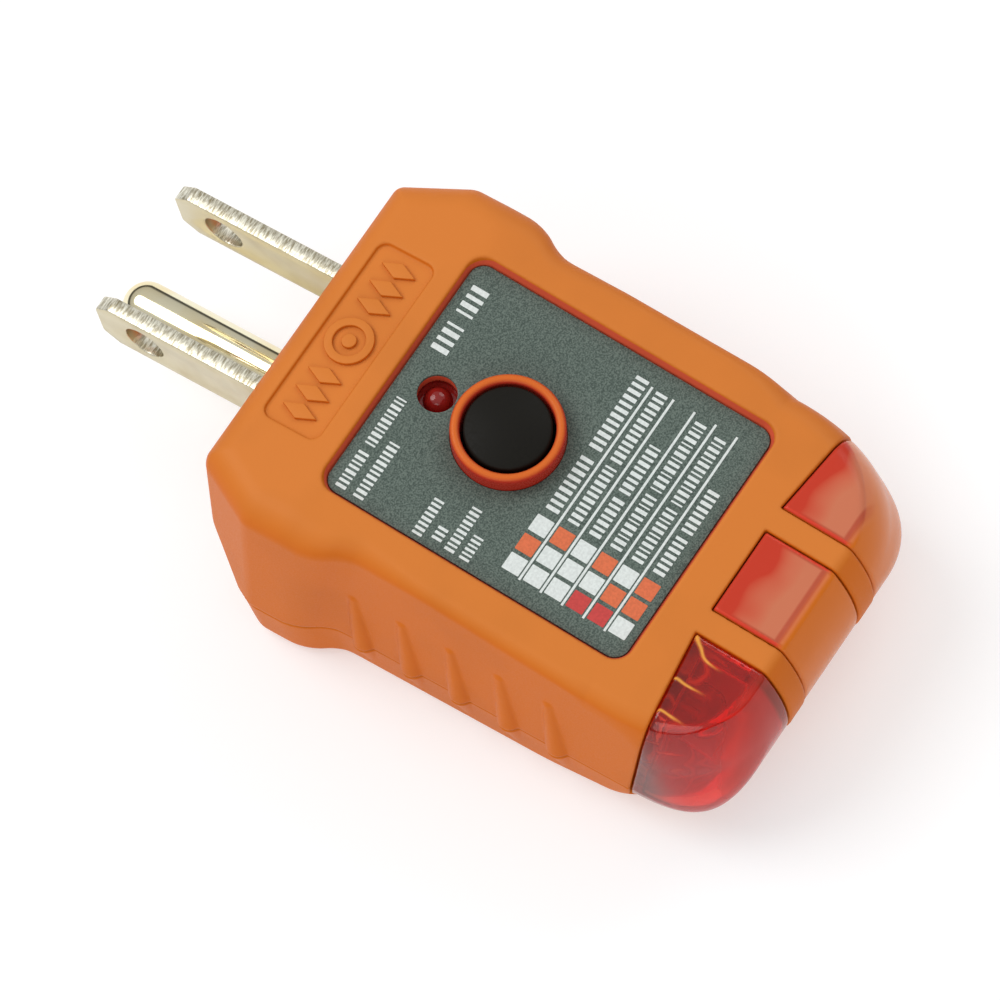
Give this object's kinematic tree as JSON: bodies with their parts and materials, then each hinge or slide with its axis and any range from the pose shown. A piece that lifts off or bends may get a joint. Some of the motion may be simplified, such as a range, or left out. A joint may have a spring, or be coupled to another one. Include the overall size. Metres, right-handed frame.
{
  "type": "outlet tester plug",
  "caption": "Handheld mains outlet tester: a plug-end case with blades and ground pin, a sloped label panel, a sprung test button, an indicator and tinted lamp lenses round the nose.",
  "frame": {"origin": "middle of the back: X is centred on the case, Y on the whole length from the nose to the ground pin's tip, and Z = 0 is the flat back that it rests on", "axes": "+Y towards the prong tips, +Z out of the label side, +X to the right when the label is seen with the prongs up"},
  "size_m": [0.0404, 0.0774, 0.0248],
  "materials": {
    "case_plastic": "fine satin grain",
    "label_film": "matt speckled film with printed squares and lines",
    "button_plastic": "satin",
    "contact_brass": "polished",
    "spring_steel": "drawn wire",
    "led_resin": "clear tinted resin",
    "black_plastic": "fine grain",
    "tinned_wire": "tinned",
    "amber_lens": "tinted clear, frosted over the nose",
    "red_lens": "tinted clear, glossy",
    "lamp_glass": "clear glass",
    "electrode_metal": "dull nickel",
    "white_plastic": "satin",
    "board_laminate": "solder mask",
    "blade_plating": "nickel plated brass, milled edges",
    "pin_plating": "polished nickel plate",
    "wire_black": "PVC",
    "wire_white": "PVC",
    "wire_green": "PVC",
    "resistor_coat": "lacquer with colour bands",
    "load_resistor_coat": "lacquer with colour bands",
    "diode_body": "epoxy with a pale cathode band",
    "screw_steel": "zinc plate"
  },
  "bodies": {
    "case": {"top_shell": "case_plastic", "bottom_shell": "case_plastic", "label_panel": "label_film", "button_spring": "spring_steel", "contact_pads": "contact_brass", "indicator_led": "led_resin", "led_spacer": "black_plastic", "led_leads": "tinned_wire", "lens_right": "amber_lens", "lens_middle": "amber_lens", "lens_left": "red_lens", "lamp_right": "lamp_glass", "lamp_middle": "lamp_glass", "lamp_left": "lamp_glass", "lamp_electrodes": "electrode_metal", "lamp_leads": "tinned_wire", "lamp_tray": "white_plastic", "circuit_board": "board_laminate", "blade_right": "blade_plating", "blade_left": "blade_plating", "ground_pin": "pin_plating", "prong_block": "black_plastic", "line_wire": "wire_black", "neutral_wire": "wire_white", "ground_wire": "wire_green", "resistors": "resistor_coat", "load_resistor": "load_resistor_coat", "diode": "diode_body", "case_screws": "screw_steel"},
    "button": {"button_cap": "button_plastic", "contact_disc": "contact_brass"}
  },
  "joints": [
    {"name": "button_press", "type": "slide", "parent": "case", "child": "button", "axis": [0, 0.1426, -0.9898], "range_m": [0, 0.0015], "stiffness_N_per_m": 400, "springref_m": -0.003, "deforming": ["button_spring"]}
  ]
}
